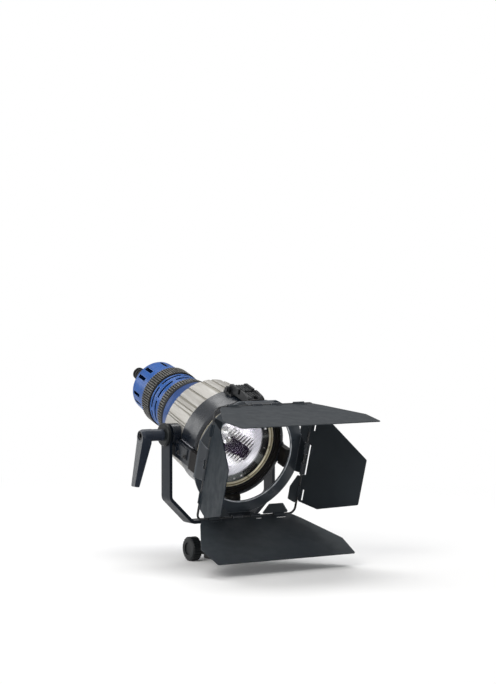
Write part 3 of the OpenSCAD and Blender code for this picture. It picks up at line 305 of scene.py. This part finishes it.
def blue_skin():
    """Blue anodised paint: satin, with a painted highlight along its rims, painted shade darkening the
    collar, and painted shade nearly black in the vents.
    """
    g = material_graph("blue_paint")
    along, radius, _ = g.round_axis()
    tone = g.mix(g.patches(26.0, 0.32, 0.68), (0.004, 0.064, 0.270), (0.010, 0.096, 0.380))
    normal, edges = g.edges(0.9 * MM)
    # Painted highlight: the rims are painted pale blue
    tone = g.mix(g.times(edges, 0.75), tone, (0.24, 0.40, 0.80))
    # Painted shade: inside the rear cap's vents is painted nearly black
    tone = g.mix(inside_cap_vents(g, along, radius), tone, (0.004, 0.004, 0.010))
    # Painted shade: the collar is painted a darker blue than the rest of the blue paint
    collar_rear = reach("rear_collar").rear
    collar_painted_shade = g.span(along, collar_rear - 2.0 * MM, collar_rear - 1.0 * MM, 0.0, 0.45)
    tone = g.mix(collar_painted_shade, tone, (0.003, 0.008, 0.045))
    # Painted shade: inside the vented ring's slots is painted nearly black
    tone = g.mix(inside_ring_vents(g, along, radius), tone, (0.004, 0.006, 0.022))
    g.principled(Base_Color=tone, Roughness=g.patches(75.0, 0.3, 0.7, 0.30, 0.40), Specular_IOR_Level=0.30,
                 Normal=g.grain(1300.0, 0.02 * MM, 0.5, normal, rough=0.6))
    return g.owner


def door_skin():
    """Slate satin paint of the door ring: darker flanges, and a painted highlight in patches on the bead
    round its opening.
    """
    g = material_graph("door_paint")
    along, radius, _ = g.round_axis()
    plate_front = 36.0 * MM
    bead_edge = reach("door_ring").inner + 1.6 * MM
    tone = g.mix(g.patches(26.0, 0.32, 0.68), (0.036, 0.045, 0.057), (0.046, 0.057, 0.070))
    on_flanges = g.span(along, plate_front + 1.6 * MM, plate_front + 2.6 * MM, 0.0, 0.75)
    tone = g.mix(on_flanges, tone, (0.010, 0.013, 0.018))
    normal, edges = g.edges(1.1 * MM)
    chips = g.times(edges, g.patches(160.0, 0.40, 0.60, 0.25, 0.80, rough=0.7))
    tone = g.mix(chips, tone, (0.40, 0.43, 0.47))
    # Painted highlight: the bead round the opening is painted pale, in uneven patches
    bead = g.times(g.span(along, plate_front + 0.3 * MM, plate_front + 0.8 * MM),
                   g.span(radius, bead_edge, bead_edge + 0.5 * MM, 1.0, 0.0))
    painted_highlight_patches = g.patches(60.0, 0.35, 0.60, 0.35, 1.0, detail=3.0)
    tone = g.mix(g.times(bead, painted_highlight_patches), tone, (0.74, 0.77, 0.82))
    g.principled(Base_Color=tone, Roughness=g.patches(75.0, 0.3, 0.7, 0.27, 0.38), Specular_IOR_Level=0.40,
                 Normal=g.grain(1300.0, 0.02 * MM, 0.6, normal, rough=0.6))
    return g.owner


def knurl(name, crest, ridge):
    """Knurled ring: nearly black hollows, and ridges worn grey where they come near the crest radius."""
    g = material_graph(name)
    _, radius, _ = g.round_axis()
    on_top = g.times(g.span(radius, crest - 0.35 * MM, crest - 0.02 * MM),
                     g.span(radius, crest + 0.2 * MM, crest + 0.5 * MM, 1.0, 0.0))
    uneven = g.patches(210.0, 0.35, 0.62, 0.35, 1.0, rough=0.7)
    tone = g.mix(g.times(on_top, uneven), grey(0.003), ridge)
    normal, edges = g.edges(0.4 * MM)
    tone = g.mix(g.times(edges, on_top, 0.75), tone, shade(ridge, 5.0))
    g.principled(Base_Color=tone, Roughness=g.span(on_top, 0.0, 1.0, 0.6, 0.42), Specular_IOR_Level=0.3,
                 Normal=g.grain(1500.0, 0.03 * MM, 0.6, normal))
    return g.owner


def silver_barrel():
    """Cast barrel in silver paint: warm grey painted shade in the grooves, lengthwise strips of painted light
    and shade, soft clouds and fine lengthwise grain.
    """
    g = material_graph("silver_barrel")
    along, radius, _ = g.round_axis()
    barrel = reach("ribbed_barrel")
    taper = 3.8 * MM
    skin = g.span(along, barrel.rear, barrel.front, barrel.outer - taper, barrel.outer, smooth=False)
    # Painted shade: the grooves are painted a warm dark grey
    grooves = g.span(g.math("SUBTRACT", skin, radius), 0.3 * MM, 1.1 * MM, 0.0, 0.80)
    cloud = g.noise(34.0, 4.0, 0.6)
    tone = g.mix(g.span(cloud, 0.3, 0.7), (0.400, 0.385, 0.360), (0.465, 0.452, 0.425))
    streaks = g.noise(1.0, 3.0, 0.6, g.stretched(FORWARD, along=18.0, across=700.0))
    tone = g.mix(g.span(streaks, 0.45, 0.8, 0.0, 0.45), tone, (0.30, 0.28, 0.25))
    # Painted light and shade: lengthwise strips painted darker and lighter, as facets that catch the light
    # differently
    painted_facet_strips = g.noise(1.0, 2.0, 0.5, g.stretched(FORWARD, along=5.0, across=130.0))
    tone = g.mix(g.span(painted_facet_strips, 0.35, 0.5, 0.45, 0.0), tone, (0.29, 0.275, 0.25))
    tone = g.mix(g.span(painted_facet_strips, 0.52, 0.68, 0.0, 0.45), tone, (0.60, 0.59, 0.57))
    tone = g.mix(grooves, tone, (0.215, 0.200, 0.165))
    normal, edges = g.edges(0.7 * MM)
    tone = g.mix(g.times(edges, 0.45), tone, (0.62, 0.61, 0.59))
    g.principled(Base_Color=tone, Metallic=0.35, Roughness=g.span(cloud, 0.3, 0.7, 0.38, 0.5),
                 Specular_IOR_Level=0.45, Normal=g.bump(streaks, 0.05 * MM, 0.5, normal))
    return g.owner


def bare_metal(name, colour, rough, brushed=None, tarnish=None):
    """Bare metal: brush marks along a direction or a fine cast skin, with smudges and any tarnish."""
    g = material_graph(name)
    tone = g.mix(g.patches(60.0), shade(colour, 0.94), shade(colour, 1.06))
    if tarnish is not None:
        tone = g.mix(g.patches(120.0, 0.5, 0.72, 0.0, 0.55, detail=5.0, rough=0.7), tone, tarnish)
    if brushed is None:
        height = g.noise(1600.0, 2.0)
    else:
        height = g.noise(1.0, 2.0, at=g.stretched(brushed, along=25.0, across=2600.0))
    normal, _ = g.edges(0.4 * MM)
    smudges = g.patches(60.0, 0.3, 0.7, rough - 0.04, rough + 0.08)
    g.principled(Base_Color=tone, Metallic=1.0, Roughness=smudges,
                 Normal=g.bump(height, 0.02 * MM, 0.5, normal))
    return g.owner


def comb_band(g, rising, falling, wide):
    """A mask of the dark band across the reflector, a painted reflection, whose edges have teeth as wide as
    the lens flutes.

    Rising and falling are diagonal coordinates in mm, and wide is the distance from the axis in metres.
    """
    flute = 5.4
    half_width = 20.0
    upper_slope = 0.32
    lower_slope = 0.36
    lower_tooth = 6.5
    soft = 0.7
    band_radius = 36.6 * MM
    teeth = g.span(g.times(g.math("PINGPONG", falling, flute / 2), 2 / flute), 0.32, 0.62)
    ragged = g.patches(130.0, 0.3, 0.7, -1.6, 1.6, detail=2.0)
    upper_teeth = g.times(teeth, g.span(falling, -15.0, 30.0, -8.0, -15.0, smooth=False))
    upper_edge = g.math("ADD", g.times(falling, upper_slope), half_width, upper_teeth, ragged)
    lower_teeth = g.times(teeth, lower_tooth)
    lower_edge = g.math("ADD", g.times(falling, lower_slope), -half_width, lower_teeth, ragged)
    below_upper = g.span(g.math("SUBTRACT", upper_edge, rising), 0.0, soft)
    above_lower = g.span(g.math("SUBTRACT", rising, lower_edge), 0.0, soft)
    right_of_end = g.span(falling, -19.0, -14.0)
    near_axis = g.span(wide, band_radius - 0.8 * MM, band_radius, 1.0, 0.0)
    return g.times(below_upper, above_lower, right_of_end, near_axis)


def mirror():
    """Reflector: bright spun skin with a satin rim, lilac low down, and a painted reflection: greyer to the
    upper right, a dark mottle at the upper left and a dark comb-edged band.

    The pattern lies in the plane of the reflector's mouth and is carried back into the bowl along one slant.
    """
    g = material_graph("reflector_mirror")
    along, radius, _ = g.round_axis()
    slant_sideways = -0.684
    slant_upward = 0.442
    rim_radius = 41.2 * MM
    depth = g.math("SUBTRACT", reach("reflector").front, along)
    x = g.math("ADD", g.from_lens(SIDEWAYS), g.times(depth, slant_sideways))
    y = g.math("ADD", g.from_lens(UPWARD), g.times(depth, slant_upward))
    diagonal = math.sqrt(0.5) / MM
    rising = g.times(g.math("ADD", x, y), diagonal)
    falling = g.times(g.math("SUBTRACT", x, y), diagonal)
    wide = g.vector("LENGTH", g.add("ShaderNodeCombineXYZ", X=x, Y=y).outputs[0])
    lilac = g.mix(g.noise(90.0), (0.66, 0.60, 0.72), (0.86, 0.82, 0.90))
    skin = g.mix(g.span(rising, -30.0, -12.0), lilac, (0.98, 0.98, 0.97))
    # Painted reflection: the skin is painted greyer towards the upper right
    skin = g.mix(g.span(rising, 22.0, 44.0), skin, (0.62, 0.64, 0.66))
    # Painted reflection: a dark mottle at the upper left, beside the band's teeth
    upper_left = g.times(g.span(falling, -12.0, -1.0, 1.0, 0.0), g.span(rising, 2.0, 6.0))
    mottle = g.patches(260.0, 0.5, 0.62, 0.0, 0.75, detail=3.0)
    skin = g.mix(g.times(upper_left, mottle), skin, (0.16, 0.13, 0.12))
    rim = g.span(radius, rim_radius, rim_radius + 1.0 * MM)
    skin = g.mix(rim, skin, (0.80, 0.79, 0.84))
    dark = g.mix(g.noise(70.0, 2.0), (0.004, 0.002, 0.007), (0.024, 0.015, 0.036))
    # Painted reflection: the dark comb-edged band
    tone = g.mix(comb_band(g, rising, falling, wide), skin, dark)
    g.principled(Base_Color=tone, Metallic=g.span(rim, 0.0, 1.0, 0.92, 0.60), Specular_IOR_Level=0.3,
                 Roughness=g.patches(240.0, 0.3, 0.7, 0.14, 0.24, detail=3.0),
                 Normal=g.grain(180.0, 0.05 * MM, 0.5))
    return g.owner


def glass(name, tint, ior, ripple, coat=0.0, alpha=1.0):
    """Clear glass with faint ripples and a little dust."""
    g = material_graph(name)
    tone = g.mix(g.patches(300.0, 0.62, 0.8, rough=0.7), tint, shade(tint, 0.9))
    g.principled(Base_Color=tone, Roughness=g.patches(90.0, 0.4, 0.7, 0.0, 0.02), IOR=ior, Alpha=alpha,
                 Transmission_Weight=1.0, Coat_Weight=coat, Coat_Roughness=0.02,
                 Normal=g.grain(55.0, ripple, 0.5))
    return g.owner


def brass_ring():
    """Pale gold lens ring: two bright beads with a darker web between them."""
    g = material_graph("brass_ring")
    _, radius, _ = g.round_axis()
    ring = reach("lens_ring")
    web_radius = (ring.inner + ring.outer) / 2
    beads = g.span(g.math("ABSOLUTE", g.math("SUBTRACT", radius, web_radius)), 0.5 * MM, 1.5 * MM)
    tone = g.mix(g.patches(120.0), (0.70, 0.64, 0.46), (0.84, 0.78, 0.60))
    tone = g.mix(beads, (0.30, 0.24, 0.13), tone)
    normal, edges = g.edges(0.3 * MM)
    tone = g.mix(g.times(edges, 0.5), tone, (0.88, 0.84, 0.70))
    g.principled(Base_Color=tone, Metallic=0.5, Roughness=g.patches(120.0, 0.3, 0.7, 0.26, 0.38),
                 Specular_IOR_Level=0.5, Normal=g.grain(1500.0, 0.02 * MM, 0.5, normal))
    return g.owner


def gasket():
    """Dark gasket behind the lens edge: dark arcs and arcs of painted sheen round the ring, with a few short
    painted glints.
    """
    g = material_graph("gasket_black")
    _, radius, out = g.round_axis()
    round_the_ring = g.vector("NORMALIZE", out)
    # Painted sheen: arcs round the ring are painted lighter
    painted_sheen_arcs = g.span(g.noise(2.6, 1.0, at=round_the_ring), 0.48, 0.51)
    tone = g.mix(painted_sheen_arcs, (0.006, 0.006, 0.008), (0.075, 0.080, 0.082))
    inner = reach("lens_gasket").inner
    middle = g.between(radius, inner + 3.5 * MM, inner + 6.3 * MM)
    # Painted glints: a few short light marks in the middle of the gasket
    painted_glints = g.times(g.span(g.noise(9.0, 1.0, at=round_the_ring), 0.60, 0.64), middle)
    tone = g.mix(painted_glints, tone, (0.62, 0.62, 0.64))
    normal, _ = g.edges(0.4 * MM)
    g.principled(Base_Color=tone, Roughness=g.patches(200.0, 0.3, 0.7, 0.4, 0.6, detail=3.0),
                 Specular_IOR_Level=0.3, Normal=g.grain(1200.0, 0.05 * MM, 0.6, normal, detail=3.0))
    return g.owner


def rubber(name, colour, rough):
    """Moulded rubber: dull and uneven, with paler edges."""
    g = material_graph(name)
    tone = g.mix(g.patches(60.0), shade(colour, 0.8), shade(colour, 1.3))
    normal, edges = g.edges(0.5 * MM)
    tone = g.mix(g.times(edges, 0.35), tone, shade(colour, 3.0))
    smears = g.patches(200.0, 0.3, 0.7, rough - 0.08, rough + 0.08, detail=3.0)
    g.principled(Base_Color=tone, Roughness=smears, Specular_IOR_Level=0.25,
                 Normal=g.grain(1200.0, 0.06 * MM, 0.6, normal, detail=3.0))
    return g.owner


def ceramic():
    """Off-white ceramic of the lamp base, slightly mottled."""
    g = material_graph("ceramic_base")
    tone = g.mix(g.noise(150.0, 4.0), (0.72, 0.70, 0.63), (0.82, 0.80, 0.74))
    normal, _ = g.edges(0.4 * MM)
    g.principled(Base_Color=tone, Roughness=g.patches(100.0, 0.3, 0.7, 0.35, 0.5, detail=3.0),
                 Normal=g.grain(900.0, 0.04 * MM, 0.5, normal, detail=3.0))
    return g.owner


def dress(material, names):
    """Gives a material to the named CAD nodes."""
    for name in names.split():
        node = nodes[name]
        if not node.material_slots:
            node.data.materials.append(material)
        for place in node.material_slots:
            place.material = material


# The doors and their frame
STEEL_WORN = (0.36, 0.36, 0.37)
SHEET = {"blotch": 0.05, "grain": 0.012 * MM, "wear": 0.30, "worn": STEEL_WORN}
dress(paint("leaf_paint", (0.025, 0.031, 0.037), 0.46, 0.17, **SHEET), "top_leaf bottom_leaf right_leaf")
# Painted shade: the left leaf gets a darker copy of the leaf paint
dress(paint("left_leaf_painted_shade", (0.009, 0.015, 0.021), 0.48, 0.12, **SHEET), "left_leaf")
dress(door_skin(), "door_ring")
dress(paint("wire_paint", (0.012, 0.013, 0.015), 0.26, 0.5, wear=0.5, worn=STEEL_WORN), "hinge_frame")

# The stand socket, the yoke and what clamps them
dress(paint("yoke_paint", (0.007, 0.011, 0.018), 0.36, 0.22, blotch=0.10, worn=STEEL_WORN), "yoke")
dress(paint("cast_paint", (0.010, 0.011, 0.013), 0.40, 0.30, grain=0.06 * MM, grain_scale=900.0, wear=0.5),
      "stand_socket latch_base latch_lever")
dress(lever_with_painted_highlight(), "tilt_lever")
dress(paint("knob_plastic", (0.010, 0.012, 0.013), 0.40, 0.24, grain=0.05 * MM, wear=0.3,
            worn=(0.10, 0.10, 0.11)),
      "stand_knob friction_disc pivot_disc")
dress(bare_metal("shoe_brass", (0.70, 0.55, 0.28), 0.34, tarnish=(0.35, 0.26, 0.14)), "clamp_shoe")

# Screws, pins, springs and rods
steel = bare_metal("brushed_steel", (0.58, 0.58, 0.60), 0.28, brushed=(1, 0, 0))
dress(steel, "knob_stud tilt_stud focus_pin latch_spring ring_clip")
dress(paint("blackened_steel", (0.016, 0.016, 0.018), 0.32, 0.4, metal=0.3, wear=0.4, worn=grey(0.3)),
      "socket_screw lever_screw pivot_screw bracket_screws latch_pin")
dress(bare_metal("dark_rod", (0.20, 0.20, 0.22), 0.20, brushed=FORWARD), "rail_rods")

# The head's housings, from front to rear
dress(paint("bezel_paint", (0.007, 0.006, 0.006), 0.42, 0.22, blotch=0.2, wear=0.2, worn=(0.14, 0.12, 0.10)),
      "bezel accessory_holder")
dress(paint("housing_paint", (0.006, 0.009, 0.015), 0.27, 0.55, blotch=0.06, grain=0.01 * MM, wear=0.35),
      "front_housing side_rails")
dress(silver_barrel(), "ribbed_barrel")
dress(blue_skin(), "rear_collar vented_ring rear_cap")
dress(paint("core_paint", (0.012, 0.013, 0.016), 0.5, 0.25, wear=0.1), "core_tube")
dress(knurl("lock_knurl", 44.0 * MM, (0.135, 0.132, 0.122)), "locking_ring")
dress(knurl("focus_knurl", reach("focusing_ring").outer, (0.105, 0.103, 0.096)), "focusing_ring")
dress(rubber("gland_rubber", (0.014, 0.014, 0.015), 0.55), "cable_gland gland_nut")

# The optics and the lamp
dress(brass_ring(), "lens_ring")
dress(glass("lens_glass_clear", (0.97, 0.985, 0.99), ior=1.16, ripple=0.02 * MM, coat=0.6, alpha=0.22),
      "lens_glass")
dress(gasket(), "lens_gasket")
dress(mirror(), "reflector")
dress(glass("quartz_envelope", (0.98, 0.98, 1.0), ior=1.46, ripple=0.01 * MM), "lamp_capsule")
dress(ceramic(), "lamp_base")
dress(bare_metal("bare_cast", (0.52, 0.53, 0.55), 0.42), "lamp_carriage")


# The lamp's filament
def piece(name, bm, material, body):
    """Turns a bmesh into a piece that rides on a body."""
    mesh = bpy.data.meshes.new(name)
    bmesh.ops.recalc_face_normals(bm, faces=bm.faces)
    bm.to_mesh(mesh)
    bm.free()
    mesh.materials.append(material)
    mesh.shade_smooth()
    mesh.set_sharp_from_angle(angle=math.radians(35.0))
    obj = bpy.data.objects.new(name, mesh)
    scene.collection.objects.link(obj)
    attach(obj, body)


def sweep(bm, path, radius, sides):
    """A round wire along a list of points."""
    angles = [2 * math.pi * k / sides for k in range(sides)]
    rings = []
    side = None
    for i, point in enumerate(path):
        direction = (path[min(i + 1, len(path) - 1)] - path[max(i - 1, 0)]).normalized()
        if side is None:
            side = direction.orthogonal().normalized()
        else:
            side = (side - direction * side.dot(direction)).normalized()
        up = direction.cross(side)
        spokes = [side * math.cos(angle) + up * math.sin(angle) for angle in angles]
        rings.append([bm.verts.new(point + spoke * radius) for spoke in spokes])
    for one, two in zip(rings, rings[1:]):
        for k in range(sides):
            after = (k + 1) % sides
            bm.faces.new((one[k], one[after], two[after], two[k]))
    bm.faces.new(list(reversed(rings[0])))
    bm.faces.new(rings[-1])


def filament(material):
    """Coiled filament on its two support wires inside the quartz envelope."""
    lamp_rear = reach("lamp_capsule").rear / MM

    def in_lamp(x, y, forward):
        """A point in metres, from mm sideways, up, and forward from the lamp's rear end."""
        return HEAD @ Vector((x * MM, y * MM, (lamp_rear + forward) * MM))

    turns = 11
    points_per_turn = 14
    coil_radius = 1.5
    coil_rear = 12.5
    coil_front = 22.5
    steps = points_per_turn * turns
    coil = []
    for i in range(steps + 1):
        angle = 2 * math.pi * turns * i / steps
        forward = coil_rear + (coil_front - coil_rear) * i / steps
        coil.append(in_lamp(coil_radius * math.cos(angle), coil_radius * math.sin(angle), forward))
    bm = bmesh.new()
    sweep(bm, coil, 0.22 * MM, sides=6)
    for side, tip in ((-1, coil_rear), (1, coil_front)):
        places = ((3.4, 7.5), (3.2, 11.0), (3.0, tip - 0.6), (coil_radius, tip))
        sweep(bm, [in_lamp(side * x, 0, forward) for x, forward in places], 0.3 * MM, sides=8)
    piece("lamp_filament", bm, material, "carriage")


filament(steel)


# Floor, world and lamps
def floor():
    """Pale floor that fades to plain white away from the object."""
    half = 30.0
    below_object = 0.2 * MM
    fade_start = 0.45
    fade_end = 1.1
    z = cad_low.z - below_object
    mesh = bpy.data.meshes.new("floor")
    corners = [(x * half, y * half, z) for x, y in ((-1, -1), (1, -1), (1, 1), (-1, 1))]
    mesh.from_pydata(corners, [], [(0, 1, 2, 3)])
    obj = bpy.data.objects.new("floor", mesh)
    scene.collection.objects.link(obj)
    g = material_graph("floor_white")
    distance = g.vector("LENGTH", g.vector("MULTIPLY", g.at, (1.0, 1.0, 0.0)))
    path = g.add("ShaderNodeLightPath").outputs
    seen = g.math("MAXIMUM", path["Is Camera Ray"], path["Is Glossy Ray"], path["Is Transmission Ray"])
    near = g.add("ShaderNodeBsdfDiffuse", Color=g.mix(g.noise(3.0), grey(0.93), grey(0.95))).outputs[0]
    white = g.add("ShaderNodeEmission", Color=grey(1.0), Strength=1.0).outputs[0]
    blend = g.add("ShaderNodeMixShader")
    for place, value in enumerate((g.times(g.span(distance, fade_start, fade_end), seen), near, white)):
        g.put(blend.inputs[place], value)
    g.show(blend.outputs[0])
    mesh.materials.append(g.owner)


def world():
    """White studio: the camera sees plain white, and gloss sees a bright wall of light on the left.

    Light that has passed the lens sees a brighter studio, so that the reflector behind it shines. A ray
    counts one transparent surface where it meets a lamp, so only two or more stand for the lens.
    """
    fill = 0.42
    behind_lens = 2.4
    wall_direction = Vector((-0.86, 0.42, 0.22)).normalized()
    wall_dim = 0.07
    wall_bright = 0.85
    studio = bpy.data.worlds.new("studio")
    scene.world = studio
    g = Graph(studio, "ShaderNodeOutputWorld")
    path = g.add("ShaderNodeLightPath").outputs
    passed_lens = g.math("GREATER_THAN", path["Transparent Depth"], 1.5)
    towards_wall = g.vector("DOT_PRODUCT", g.coordinates["Generated"], wall_direction)
    wall = g.span(towards_wall, -0.1, 0.85, wall_dim, wall_bright)
    level = g.math("MAXIMUM", path["Is Camera Ray"], path["Is Transmission Ray"],
                   g.times(passed_lens, behind_lens), g.times(path["Is Glossy Ray"], wall), fill)
    g.show(g.add("ShaderNodeBackground", Color=grey(1.0), Strength=level).outputs[0])


def softbox(name, place, size, watts, colour=(1, 1, 1)):
    """A rectangular lamp that shines at the middle of the object, and that the camera doesn't see."""
    middle = Vector((0.0, -0.05, 0.15))
    data = bpy.data.lights.new(name, "AREA")
    data.shape = "RECTANGLE"
    data.size, data.size_y = size
    data.energy = watts
    data.color = colour
    obj = bpy.data.objects.new(name, data)
    scene.collection.objects.link(obj)
    obj.location = place
    obj.visible_camera = False
    obj.rotation_mode = "QUATERNION"
    obj.rotation_quaternion = (middle - Vector(place)).to_track_quat("-Z", "Y")


floor()
world()
softbox("key", (-1.9, -1.2, 1.7), (1.3, 1.3), 31.0, (1.0, 0.985, 0.96))
softbox("top", (0.3, 0.6, 2.2), (1.6, 1.2), 27.0)
softbox("side", (1.9, -1.6, 0.9), (1.0, 1.4), 9.0, (0.95, 0.975, 1.0))
softbox("rim", (-1.35, 1.95, 1.15), (0.8, 1.0), 9.0)


# Camera and colour
def add_camera():
    """The scene's camera, at the photograph's angle: in front of the lens, and to the left."""
    from_lens = Vector((-0.52737, -0.84500, 0.08862))
    distance = 3.1709
    data = bpy.data.cameras.new("camera")
    data.sensor_width = 36.0
    data.lens = 122.71
    data.clip_start = 0.05
    data.clip_end = 100.0
    camera = bpy.data.objects.new("camera", data)
    scene.collection.objects.link(camera)
    camera.location = LENS_CENTRE + from_lens * distance
    camera.rotation_euler = (math.radians(87.46), 0.0, math.radians(-32.289))
    scene.camera = camera


add_camera()
scene.view_settings.view_transform = "Standard"
